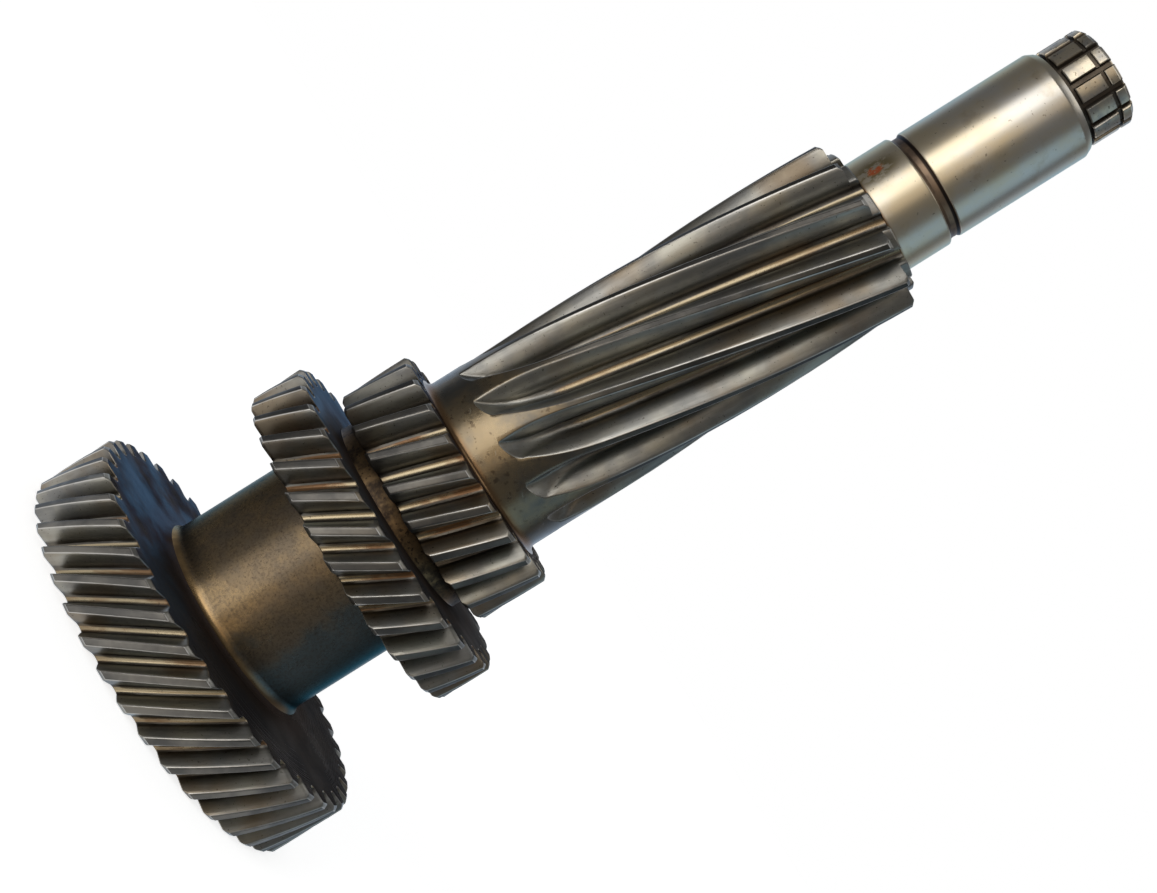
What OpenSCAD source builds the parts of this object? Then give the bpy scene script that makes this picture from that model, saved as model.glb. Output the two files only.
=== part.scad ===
// Countershaft of a gearbox, turned and hobbed from one forging.
// The axis is +Z. It stands on the rim of the large gear, with the spline at the top.
// All teeth are right-hand helices: seen from the top, a tooth turns anticlockwise as it climbs.

/* [Large gear] */
// Number of teeth of the large gear
large_teeth = 38; // [34:1:42]
// Normal module of the large gear
large_module = 2.25; // [2:0.05:2.5]
// Helix angle of the large gear
large_helix = 36; // [20:1:38]
// Face width of the large gear
large_width = 21; // [14:0.5:30]
// Angle of a tooth space at the lower face of the large gear
large_turn = 4.3; // [0:0.1:10]

/* [Medium gear] */
// Number of teeth of the medium gear
medium_teeth = 29; // [26:1:32]
// Normal module of the medium gear
medium_module = 2.5; // [2.25:0.05:2.75]
// Helix angle of the medium gear
medium_helix = 31; // [20:1:34]
// Face width of the medium gear
medium_width = 15.3; // [10:0.1:24]
// Angle of a tooth space at the lower face of the medium gear
medium_turn = 5.2; // [0:0.1:13]

/* [Small gear] */
// Number of teeth of the small gear
small_teeth = 21; // [20:1:24]
// Normal module of the small gear
small_module = 2.75; // [2.7:0.05:3]
// Helix angle of the small gear
small_helix = 19; // [10:1:26]
// Face width of the small gear
small_width = 19.9; // [12:0.1:30]
// Angle of a tooth space at the lower face of the small gear
small_turn = 10.2; // [0:0.1:18]

/* [Pinion] */
// Number of teeth of the pinion, which is cut into the shaft itself
pinion_teeth = 12; // [11:1:14]
// Normal module of the pinion
pinion_module = 3.25; // [3:0.05:3.5]
// Helix angle of the pinion
pinion_helix = 11.7; // [6:0.1:16]
// Profile shift of the pinion as a share of its module, which keeps so few teeth strong
pinion_shift = 0.3; // [0.25:0.01:0.35]
// Length over which the pinion's teeth have their full depth
pinion_length = 85.4; // [40:0.1:120]
// Angle of a tooth space at the upper end of the pinion
pinion_turn = 4.8; // [0:0.1:30]
// Radius of the hob, whose arc lifts each tooth space out of the neck
hob_radius = 32; // [28:1:50]
// Height by which the hob leaves one flank sooner than the other
hob_lead = 1.5; // [0:0.1:3]

/* [Shaft] */
// Radius of the plain barrel between the large and the medium gear
barrel_radius = 27.1; // [24:0.1:30]
// Length of the plain barrel
barrel_length = 34.8; // [20:0.1:60]
// Fillet between the large gear and the barrel
barrel_fillet = 3.6; // [1:0.1:5]
// Width of the groove between the medium and the small gear
groove_width = 4; // [3:0.1:8]
// Radius of the floor of that groove
groove_radius = 26.4; // [22:0.1:26.6]
// Length of the plain neck between the small gear and the first tooth space
neck_length = 9.2; // [4:0.1:30]
// Fillet between the small gear and the neck
neck_fillet = 1.8; // [0.5:0.1:2.4]
// Radius of the collar beyond the pinion, which its tooth spaces also cut
collar_radius = 20; // [18.6:0.1:21.5]
// Length of that collar
collar_length = 2.2; // [1:0.1:6]

/* [Journals] */
// Radius of the centre journal, next to the pinion
centre_journal_radius = 15.5; // [15.3:0.1:16.5]
// Length of the centre journal
centre_journal_length = 14.6; // [8:0.1:30]
// Radius of the rear journal
rear_journal_radius = 15; // [14.2:0.1:15.2]
// Length of the rear journal
rear_journal_length = 39.4; // [20:0.1:60]
// Width of the grinding groove between the two journals
relief_width = 2; // [1:0.1:4]
// Depth of the grinding groove below the rear journal
relief_depth = 0.6; // [0.3:0.1:1.5]

/* [Spline] */
// Number of splines
spline_count = 14; // [10:1:16]
// Radius over the splines
spline_radius = 13.6; // [13.2:0.1:13.9]
// Depth of the spaces between the splines
spline_depth = 1.6; // [1:0.1:2]
// Width of each space at its mouth
spline_space = 1.9; // [1.2:0.1:2.6]
// Length of the splines
spline_length = 11.6; // [8:0.1:40]
// Angle of a space between two splines
spline_turn = 6; // [0:0.1:26]
// Width of the undercut below the splines
undercut_width = 1.3; // [0.8:0.1:3]
// Width of the snap-ring groove
ring_groove_width = 1.1; // [0.8:0.1:1.6]
// Depth of the snap-ring groove
ring_groove_depth = 1; // [0.5:0.1:1.4]
// Distance from the top end down to the snap-ring groove
ring_groove_inset = 3.2; // [2.2:0.1:5]

/* [Lower end] */
// Radius of the bore for the front needle bearing
bore_radius = 14; // [10:0.1:18]
// Depth of that bore
bore_depth = 26; // [12:0.5:60]
// Radius of the hub face round the bore
hub_radius = 24; // [20:0.5:30]
// Width of the rim face that the shaft stands on
rim_width = 4; // [3:0.1:6]
// Depth of the turned recess between the hub and the rim
recess_depth = 2.5; // [0.8:0.1:5]
// Height of the hub face above the rim face
hub_step = 0.5; // [0.1:0.1:0.7]

/* [Edges] */
// Chamfer on the tooth ends of the gears
tooth_chamfer = 1; // [0.3:0.1:1.4]
// Chamfer on the ends of the journals and splines
journal_chamfer = 1; // [0.3:0.1:1.4]

/* [Hidden] */
$fn = 144;
steel = [0.36, 0.35, 0.33];

// Basic rack of all four gears
pressure_angle = 20;
addendum = 1;
dedendum = 1.25;
fillet_rise = 0.1;
fillet_top = 0.42;
fillet_narrow = 0.62;

// Widest that a tooth space opens outside the teeth, as a share of the pitch
open_share = 0.97;

// How far cutters reach outside the steel that they cut
over = 1;

// Each gear as its teeth, normal module, helix angle and profile shift
large = [large_teeth, large_module, large_helix, 0];
medium = [medium_teeth, medium_module, medium_helix, 0];
small = [small_teeth, small_module, small_helix, 0];
pinion = [pinion_teeth, pinion_module, pinion_helix, pinion_shift];

function teeth(gear) = gear[0];
function mod(gear) = gear[1];
function helix(gear) = gear[2];
function shift(gear) = gear[3];

// Radii of a gear, the pressure angle across its axis, and the twist of its teeth in degrees per mm
function pitch_r(gear) = teeth(gear) * mod(gear) / (2 * cos(helix(gear)));
function tip_r(gear) = pitch_r(gear) + mod(gear) * (addendum + shift(gear));
function root_r(gear) = pitch_r(gear) - mod(gear) * (dedendum - shift(gear));
function flank_angle(gear) = atan(tan(pressure_angle) / cos(helix(gear)));
function twist_rate(gear) = tan(helix(gear)) / pitch_r(gear) * 180 / PI;

// Heights of the shoulders, from the rim face upwards
large_top = large_width;
medium_foot = large_top + barrel_length;
medium_top = medium_foot + medium_width;
small_foot = medium_top + groove_width;
small_top = small_foot + small_width;
neck_radius = tip_r(pinion);
run_out = sqrt(pow(hob_radius, 2) - pow(hob_radius - neck_radius + root_r(pinion), 2));
full_depth = small_top + neck_length + run_out;
pinion_top = full_depth + pinion_length;
collar_top = pinion_top + collar_length;
centre_top = collar_top + centre_journal_length;
rear_foot = centre_top + relief_width;
rear_top = rear_foot + rear_journal_length;
spline_foot = rear_top + undercut_width;
top = spline_foot + spline_length;
ring_groove_top = top - ring_groove_inset;
relief_radius = rear_journal_radius - relief_depth;
spline_root = spline_radius - spline_depth;
rim_inner = root_r(large) - rim_width;
undercut_radius = spline_root - 0.1;

// Small edges and corners
collar_chamfer = 0.4;
shoulder_fillet = 0.6;
bore_chamfer = 1.2;
spline_flank = 15;

// Drilled holes at both ends
pilot_radius = 5;
pilot_depth = 8;
drill_point = 118;
centre_hole_mouth = 4.5;
centre_hole_pilot = 1.6;
centre_hole_depth = 7;
centre_hole_angle = 60;

// Number of levels along the tooth spaces, and how they crowd towards the start of the rise
through_spans = 2;
lift_spans = 9;
deep_spans = 8;
lift_crowding = 1.6;

// The involute function, in degrees
function inv(angle) = tan(angle) * 180 / PI - angle;

// Half the angle that a tooth space takes at radius r, once the hob has risen by lift
function space_half(gear, r, lift) =
    let (pitch = pitch_r(gear),
         flank = flank_angle(gear),
         rolled = inv(acos(min(1, pitch * cos(flank) / r))),
         shifted = 2 * shift(gear) * tan(pressure_angle) / teeth(gear),
         thicker = shifted + lift * tan(flank) / pitch)
    90 / teeth(gear) - thicker * 180 / PI - inv(flank) + rolled;

// Points up one flank of a tooth space, as radius and angle, from its root fillet outwards
function flank_points(gear, side, lift) =
    let (root = root_r(gear) + lift,
         foot = root + fillet_rise * mod(gear),
         low = root + fillet_top * mod(gear),
         tip = max(tip_r(gear), low),
         out = tip / cos(180 / teeth(gear)) + over,
         widest = open_share * 180 / teeth(gear))
    concat([[foot, side * fillet_narrow * space_half(gear, low, lift)]],
           [for (r = [low, (low + tip) / 2, tip + over / 3, out])
               [r, side * min(widest, space_half(gear, r, lift))]]);

// One level of a tooth space, whose left flank, floor and right flank each have a lift
function space_ring(gear, z, turn, lifts) =
    let (left = flank_points(gear, -1, lifts[0]),
         right = flank_points(gear, 1, lifts[2]),
         last = len(left) - 1,
         floor_point = [root_r(gear) + lifts[1], 0],
         ring = concat([for (i = [last : -1 : 0]) left[i]], [floor_point], right))
    [for (p = ring) [p[0] * cos(turn + p[1]), p[0] * sin(turn + p[1]), z]];

// How far the hob has risen at a distance past the height where it still cut full depth
function hob_lift(distance) =
    distance <= 0 ? 0 : hob_radius - sqrt(pow(hob_radius, 2) - pow(distance, 2));

// A closed solid through a stack of rings, each of the same odd number of points
module ring_stack(rings) {
    count = len(rings[0]);
    half = (count - 1) / 2;
    roof = (len(rings) - 1) * count;
    polyhedron(
        points = [for (ring = rings) for (p = ring) p],
        faces = concat(
            [for (i = [0 : len(rings) - 2]) for (j = [0 : count - 1])
                let (a = i * count + j, b = i * count + (j + 1) % count) [a, b, a + count]],
            [for (i = [0 : len(rings) - 2]) for (j = [0 : count - 1])
                let (a = i * count + j, b = i * count + (j + 1) % count) [b, b + count, a + count]],
            [for (j = [0 : half - 1]) [j + 1, j, count - 1 - j]],
            [for (j = [0 : half - 2]) [count - 2 - j, j + 1, count - 1 - j]],
            [for (j = [0 : half - 1]) [roof + j, roof + j + 1, roof + count - 1 - j]],
            [for (j = [0 : half - 2]) [roof + j + 1, roof + count - 2 - j, roof + count - 1 - j]]));
}

// One copy for each tooth
module around(count) {
    for (i = [0 : count - 1]) rotate([0, 0, 360 * i / count]) children();
}

// The tooth spaces of a gear that the hob cut straight through
module through_spaces(gear, foot, width, turn) {
    levels = [for (i = [0 : through_spans]) (width + 2 * over) * i / through_spans - over];
    around(teeth(gear))
        ring_stack([for (h = levels)
            space_ring(gear, foot + h, turn + twist_rate(gear) * h, [0, 0, 0])]);
}

// The tooth spaces of the pinion, which rise out of the steel at their lower end
module pinion_spaces() {
    fall = neck_radius + over - root_r(pinion);
    reach = sqrt(pow(hob_radius, 2) - pow(hob_radius - fall, 2)) + 2 * hob_lead;
    lift_levels = [for (i = [0 : lift_spans])
        full_depth + hob_lead - reach * (1 - pow(i / lift_spans, lift_crowding))];
    straight = collar_top + over - full_depth - hob_lead;
    deep_levels = [for (i = [1 : deep_spans]) full_depth + hob_lead + straight * i / deep_spans];
    around(pinion_teeth)
        ring_stack([for (z = concat(lift_levels, deep_levels))
            space_ring(pinion, z, pinion_turn + twist_rate(pinion) * (z - pinion_top),
                [for (lead = [-hob_lead, 0, hob_lead]) hob_lift(full_depth + lead - z)])]);
}

// Fills an inside corner at a radius and height; up is 1 above a shoulder and -1 below one
module corner_fillet(r, z, size, up) {
    translate([r, z]) scale([1, up])
        difference() {
            square(size);
            translate([size, size]) circle(size);
        }
}

// The turned blank, as half of its section
module blank_section() {
    large_tip = tip_r(large);
    medium_tip = tip_r(medium);
    small_tip = tip_r(small);
    polygon([
        [0, hub_step],
        [hub_radius, hub_step],
        [hub_radius, recess_depth],
        [rim_inner, recess_depth],
        [rim_inner, 0],
        [large_tip - tooth_chamfer, 0],
        [large_tip, tooth_chamfer],
        [large_tip, large_top - tooth_chamfer],
        [large_tip - tooth_chamfer, large_top],
        [barrel_radius, large_top],
        [barrel_radius, medium_foot],
        [medium_tip - tooth_chamfer, medium_foot],
        [medium_tip, medium_foot + tooth_chamfer],
        [medium_tip, medium_top - tooth_chamfer],
        [medium_tip - tooth_chamfer, medium_top],
        [groove_radius, medium_top],
        [groove_radius, small_foot],
        [small_tip - tooth_chamfer, small_foot],
        [small_tip, small_foot + tooth_chamfer],
        [small_tip, small_top - tooth_chamfer],
        [small_tip - tooth_chamfer, small_top],
        [neck_radius, small_top],
        [neck_radius, pinion_top - tooth_chamfer],
        [neck_radius - tooth_chamfer, pinion_top],
        [collar_radius, pinion_top],
        [collar_radius, collar_top - collar_chamfer],
        [collar_radius - collar_chamfer, collar_top],
        [centre_journal_radius, collar_top],
        [centre_journal_radius, centre_top - journal_chamfer],
        [relief_radius, centre_top],
        [relief_radius, rear_foot],
        [rear_journal_radius, rear_foot + relief_depth],
        [rear_journal_radius, rear_top - 2 * journal_chamfer],
        [rear_journal_radius - journal_chamfer, rear_top],
        [undercut_radius, rear_top],
        [undercut_radius, spline_foot],
        [spline_radius, spline_foot],
        [spline_radius, ring_groove_top - ring_groove_width],
        [spline_radius - ring_groove_depth, ring_groove_top - ring_groove_width],
        [spline_radius - ring_groove_depth, ring_groove_top],
        [spline_radius, ring_groove_top],
        [spline_radius, top - journal_chamfer],
        [spline_radius - journal_chamfer, top],
        [0, top]]);
    corner_fillet(barrel_radius, large_top, barrel_fillet, 1);
    corner_fillet(barrel_radius, medium_foot, shoulder_fillet, -1);
    corner_fillet(neck_radius, small_top, neck_fillet, 1);
    corner_fillet(centre_journal_radius, collar_top, shoulder_fillet, 1);
}

// The spaces between the splines, open at the top and into the undercut
module spline_spaces() {
    mouth = spline_space / 2;
    slope = tan(spline_flank);
    around(spline_count)
        rotate([0, 0, spline_turn])
            translate([0, 0, rear_top + undercut_width / 2])
                linear_extrude(top + over - rear_top)
                    polygon([
                        [spline_root, slope * spline_depth - mouth],
                        [spline_radius + over, -slope * over - mouth],
                        [spline_radius + over, slope * over + mouth],
                        [spline_root, mouth - slope * spline_depth]]);
}

// The needle bearing bore in the lower end, with the drilled hole beyond it
module front_bore() {
    translate([0, 0, hub_step - over]) cylinder(r = bore_radius, h = bore_depth + over);
    translate([0, 0, hub_step - over])
        cylinder(r1 = bore_radius + bore_chamfer + over, r2 = bore_radius, h = bore_chamfer + over);
    translate([0, 0, hub_step + bore_depth - over]) {
        cylinder(r = pilot_radius, h = pilot_depth + over);
        translate([0, 0, pilot_depth + over])
            cylinder(r1 = pilot_radius, r2 = 0, h = pilot_radius / tan(drill_point / 2));
    }
}

// The centre hole in the top end
module centre_hole() {
    cone = (centre_hole_mouth - centre_hole_pilot) / tan(centre_hole_angle / 2);
    translate([0, 0, top - cone])
        cylinder(r1 = centre_hole_pilot, r2 = centre_hole_mouth, h = cone);
    translate([0, 0, top - centre_hole_depth])
        cylinder(r = centre_hole_pilot, h = centre_hole_depth);
}

module countershaft() {
    color(steel)
        difference() {
            rotate_extrude() blank_section();
            through_spaces(large, 0, large_width, large_turn);
            through_spaces(medium, medium_foot, medium_width, medium_turn);
            through_spaces(small, small_foot, small_width, small_turn);
            pinion_spaces();
            spline_spaces();
            front_bore();
            centre_hole();
        }
}

countershaft();
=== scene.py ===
import math
from collections import namedtuple

import bmesh
import bpy
from mathutils import Matrix, Vector


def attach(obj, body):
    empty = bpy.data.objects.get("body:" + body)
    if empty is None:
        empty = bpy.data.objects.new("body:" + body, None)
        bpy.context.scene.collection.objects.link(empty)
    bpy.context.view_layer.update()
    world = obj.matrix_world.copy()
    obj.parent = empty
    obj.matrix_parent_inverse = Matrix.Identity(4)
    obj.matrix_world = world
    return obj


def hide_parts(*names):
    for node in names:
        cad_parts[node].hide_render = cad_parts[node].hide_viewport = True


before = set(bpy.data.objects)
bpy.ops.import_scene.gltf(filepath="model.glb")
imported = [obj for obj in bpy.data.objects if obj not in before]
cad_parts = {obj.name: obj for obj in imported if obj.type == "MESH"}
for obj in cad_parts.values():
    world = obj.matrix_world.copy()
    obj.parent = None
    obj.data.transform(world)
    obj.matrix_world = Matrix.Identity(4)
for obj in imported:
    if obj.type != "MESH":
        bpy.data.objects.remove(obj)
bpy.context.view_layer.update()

# Sizes of the shaft, in millimetres and degrees, as its solid has them
MM = 0.001
Gear = namedtuple("Gear", "teeth module helix shift foot width turn")
BARREL_RADIUS, BARREL_LENGTH, BARREL_FILLET = 27.1, 34.8, 3.6
GROOVE_RADIUS, GROOVE_WIDTH = 26.4, 4.0
GROOVE_CORNER_WIDTH, GROOVE_CORNER_HEIGHT = 0.1, 0.3
NECK_LENGTH, NECK_FILLET = 9.2, 1.8
HOB_RADIUS, HOB_LEAD = 32.0, 1.5
COLLAR_RADIUS, COLLAR_LENGTH = 20.0, 2.2
CENTRE_JOURNAL_RADIUS, CENTRE_JOURNAL_LENGTH = 15.5, 14.6
REAR_JOURNAL_RADIUS, REAR_JOURNAL_LENGTH = 15.0, 39.4
RELIEF_WIDTH, RELIEF_DEPTH = 2.0, 0.6
UNDERCUT_WIDTH, UNDERCUT_STEP = 1.3, 0.1
SPLINE_COUNT, SPLINE_RADIUS, SPLINE_DEPTH, SPLINE_LENGTH = 14, 13.6, 1.6, 11.6
SPLINE_SPACE, SPLINE_FLANK, SPLINE_TURN = 1.9, 15, 6.0
SPLINE_TIP_TURN, SPLINE_ROOT_TURN = 0.6, 0.15
RING_GROOVE_WIDTH, RING_GROOVE_DEPTH, RING_GROOVE_INSET = 1.1, 1.0, 3.2
BORE_RADIUS, BORE_DEPTH, BORE_CHAMFER = 14.0, 26.0, 1.2
PILOT_RADIUS, PILOT_DEPTH, DRILL_POINT = 5.0, 8.0, 118
HUB_RADIUS, HUB_STEP, RIM_WIDTH = 24.0, 0.5, 4.0
RECESS_DEPTH, RECESS_SLOPE = 2.5, 0.6
CENTRE_HOLE_MOUTH, CENTRE_HOLE_PILOT, CENTRE_HOLE_DEPTH, CENTRE_HOLE_SLOPE = 4.5, 1.6, 7.0, 30
END_FACE_INSET = 0.4
TOOTH_CHAMFER, JOURNAL_CHAMFER, SHOULDER_FILLET, COLLAR_CHAMFER = 1.0, 1.0, 0.6, 0.4
PRESSURE_ANGLE, ADDENDUM, DEDENDUM, FILLET_RISE = 20, 1.0, 1.25, 0.42
WIDEST_SPACE, LEAST_FLANK = 0.97, 0.01

LARGE = Gear(teeth=38, module=2.25, helix=36, shift=0, foot=0, width=21, turn=4.3)
MEDIUM = Gear(teeth=29, module=2.5, helix=31, shift=0, foot=LARGE.width + BARREL_LENGTH, width=15.3, turn=5.2)
SMALL = Gear(teeth=21, module=2.75, helix=19, shift=0, foot=MEDIUM.foot + MEDIUM.width + GROOVE_WIDTH,
             width=19.9, turn=10.2)
PINION_CUT = Gear(teeth=12, module=3.25, helix=11.7, shift=0.3, foot=0, width=85.4, turn=4.8)

# How finely the shaft is drawn, and how far its edges are worn round, in millimetres
TIP_WEAR, END_WEAR, CORNER_WEAR, SPLINE_WEAR = 0.22, 0.2, 0.25, 0.15
MOST_WEAR, LEAST_WEAR, WEAR_MIDDLE, GATHERED_STEP = 0.3, 0.004, 0.29, 0.02
FLANK_POINTS, LAND_POINTS, WORN_POINTS = 20, 3, 4
PINION_FLANK_POINTS, PINION_LAND_POINTS, SPLINE_LAND_POINTS = 24, 6, 17
TOOTH_FILLET_STEPS, FLANK_STEPS, FILLET_STEPS = 12, 12, 6
GATHER_LEVELS, RISE_LEVELS, DEEP_LEVELS, THROUGH_LEVELS = 4, 30, 14, 6
RISE_CROWDING = 1.8
BARREL_SIDES, AXIS_RADIUS, SMOOTH_ANGLE = 240, 0.05, 32
FACE_MARGIN, SMALL_FACE_MARGIN = 1.6, 0.3


# The form of the teeth

def pitch_radius(gear):
    return gear.teeth * gear.module / (2 * math.cos(math.radians(gear.helix)))


def tip_radius(gear):
    return pitch_radius(gear) + gear.module * (ADDENDUM + gear.shift)


def root_radius(gear):
    return pitch_radius(gear) - gear.module * (DEDENDUM - gear.shift)


def twist_rate(gear):
    """Degrees that a tooth turns in each millimetre of height."""
    return math.degrees(math.tan(math.radians(gear.helix)) / pitch_radius(gear))


def involute(angle):
    return math.tan(angle) - angle


def space_half(gear, radius, lift):
    """Half the angle of a tooth space at a radius, once the hob has risen by lift, in degrees."""
    pitch = pitch_radius(gear)
    flank = math.atan(math.tan(math.radians(PRESSURE_ANGLE)) / math.cos(math.radians(gear.helix)))
    rolled = involute(math.acos(min(1, pitch * math.cos(flank) / radius)))
    shifted = 2 * gear.shift * math.tan(math.radians(PRESSURE_ANGLE)) / gear.teeth
    thicker = shifted + lift * math.tan(flank) / pitch
    widest = WIDEST_SPACE * math.pi / gear.teeth
    return math.degrees(min(widest, math.pi / 2 / gear.teeth - thicker - involute(flank) + rolled))


def flank_curve(gear, lift, floor_lift):
    """Radius and angle from the middle of a space's floor up one flank."""
    low = root_radius(gear) + lift + FILLET_RISE * gear.module
    wide = space_half(gear, low, lift)
    curve = []
    for step in range(TOOTH_FILLET_STEPS + 1):
        swing = math.radians(90 * step / TOOTH_FILLET_STEPS)
        lifted = floor_lift + (lift - floor_lift) * math.sin(swing)
        rise = FILLET_RISE * gear.module * (1 - math.cos(swing))
        curve.append((root_radius(gear) + lifted + rise, wide * math.sin(swing)))
    high = max(low + LEAST_FLANK, tip_radius(gear))
    for step in range(1, FLANK_STEPS + 1):
        radius = low + (high - low) * step / FLANK_STEPS
        curve.append((radius, space_half(gear, radius, lift)))
    return curve


def below(curve, tip):
    """The stretch of a curve that lies inside a radius, with its two crossings."""
    inside = []
    for before, after in zip(curve, curve[1:]):
        if (before[0] < tip) != (after[0] < tip):
            share = (tip - before[0]) / (after[0] - before[0])
            inside.append((tip, before[1] + share * (after[1] - before[1])))
        if after[0] < tip:
            inside.append(after)
    return inside


def evenly(curve, count):
    """Points at count even steps along a curve of radius and angle, with both its ends."""
    lengths = [0]
    for before, after in zip(curve, curve[1:]):
        along = math.hypot(after[0] - before[0], math.radians(after[1] - before[1]) * after[0])
        lengths.append(lengths[-1] + along)
    points = [curve[0]]
    for step in range(1, count + 1):
        goal = lengths[-1] * step / count
        at = max(i for i in range(len(lengths) - 1) if lengths[i] <= goal + 1e-12 or i == 0)
        span = max(1e-12, lengths[at + 1] - lengths[at])
        share = min(1, (goal - lengths[at]) / span)
        points.append(tuple(a + share * (b - a) for a, b in zip(curve[at], curve[at + 1])))
    return points


def tooth_outline(gear, tip, lifts=(0, 0, 0), steps=FLANK_POINTS, lands=LAND_POINTS):
    """Radius and angle of the points of one pitch: a tooth space with worn edges, then the land after it."""
    left = [(radius, -angle) for radius, angle in flank_curve(gear, lifts[0], lifts[1])]
    space = left[::-1] + flank_curve(gear, lifts[2], lifts[1])[1:]
    deepest, middle = min(space)
    wear = min(TIP_WEAR, MOST_WEAR * (tip - deepest))
    if wear < LEAST_WEAR:
        points = [(tip, middle + GATHERED_STEP * (step - steps / 2)) for step in range(steps + WORN_POINTS + 1)]
    else:
        floor, mouth = evenly(below(space, tip - wear), steps), below(space, tip)
        start, end = mouth[0][1], mouth[-1][1]
        past = math.degrees(wear / tip)
        lower = tip - WEAR_MIDDLE * wear
        points = [(tip, start - past), (lower, start - WEAR_MIDDLE * past)] + floor
        points += [(lower, end + WEAR_MIDDLE * past), (tip, end + past)]
    first, last = points[0][1] + 360 / gear.teeth, points[-1][1]
    return points + [(tip, last + (first - last) * step / (lands + 1)) for step in range(1, lands + 1)]


def inset(outline, gear, depth):
    """The same outline moved into the steel by depth, for a worn edge at the end of the teeth."""
    pitch = 360 / gear.teeth
    count = len(outline)
    moved = []
    for at, (radius, angle) in enumerate(outline):
        before = outline[at - 1] if at else (outline[-1][0], outline[-1][1] - pitch)
        after = outline[at + 1] if at < count - 1 else (outline[0][0], outline[0][1] + pitch)
        outward = after[0] - before[0]
        round_way = math.radians(after[1] - before[1]) * radius
        length = math.hypot(outward, round_way)
        inward = depth * round_way / length
        sideways = math.degrees(depth * outward / length / radius)
        moved.append((radius - inward, angle + sideways))
    return moved


def spline_outline(cap):
    """Radius and angle of the points of one spline pitch, no further out than cap."""
    root = SPLINE_RADIUS - SPLINE_DEPTH
    mouth = math.degrees(SPLINE_SPACE / 2 / SPLINE_RADIUS)
    foot = math.degrees((SPLINE_SPACE / 2 - SPLINE_DEPTH * math.tan(math.radians(SPLINE_FLANK))) / root)
    edge = mouth + SPLINE_TIP_TURN
    pitch = 360 / SPLINE_COUNT
    side = [(root, 0.6 * foot), (root, foot), (root + SPLINE_WEAR, foot + SPLINE_ROOT_TURN),
            (root + SPLINE_DEPTH / 2, (foot + mouth) / 2), (SPLINE_RADIUS - SPLINE_WEAR, mouth), (SPLINE_RADIUS, edge)]
    land = [(SPLINE_RADIUS, edge + (pitch - 2 * mouth - 2 * SPLINE_TIP_TURN) * step / (SPLINE_LAND_POINTS + 1))
            for step in range(1, SPLINE_LAND_POINTS + 1)]
    whole = [(root, 0)] + side + land + [(radius, pitch - angle) for radius, angle in side[::-1]]
    return [(min(radius, cap), angle) for radius, angle in whole]


# Heights up the shaft, in millimetres from the large gear's rim
SMALL_TOP = SMALL.foot + SMALL.width
NECK_TOP = SMALL_TOP + NECK_LENGTH
NECK_RADIUS = tip_radius(PINION_CUT)
HOB_RUN_OUT = math.sqrt(HOB_RADIUS ** 2 - (HOB_RADIUS - NECK_RADIUS + root_radius(PINION_CUT)) ** 2)
PINION = PINION_CUT._replace(foot=NECK_TOP + HOB_RUN_OUT)
PINION_START = PINION.foot - HOB_RUN_OUT - HOB_LEAD
PINION_TOP = PINION.foot + PINION.width
COLLAR_TOP = PINION_TOP + COLLAR_LENGTH
CENTRE_TOP = COLLAR_TOP + CENTRE_JOURNAL_LENGTH
REAR_FOOT = CENTRE_TOP + RELIEF_WIDTH
REAR_TOP = REAR_FOOT + REAR_JOURNAL_LENGTH
SPLINE_FOOT = REAR_TOP + UNDERCUT_WIDTH
TOP = SPLINE_FOOT + SPLINE_LENGTH


# Drawing a skin of steel up ring by ring

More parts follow.
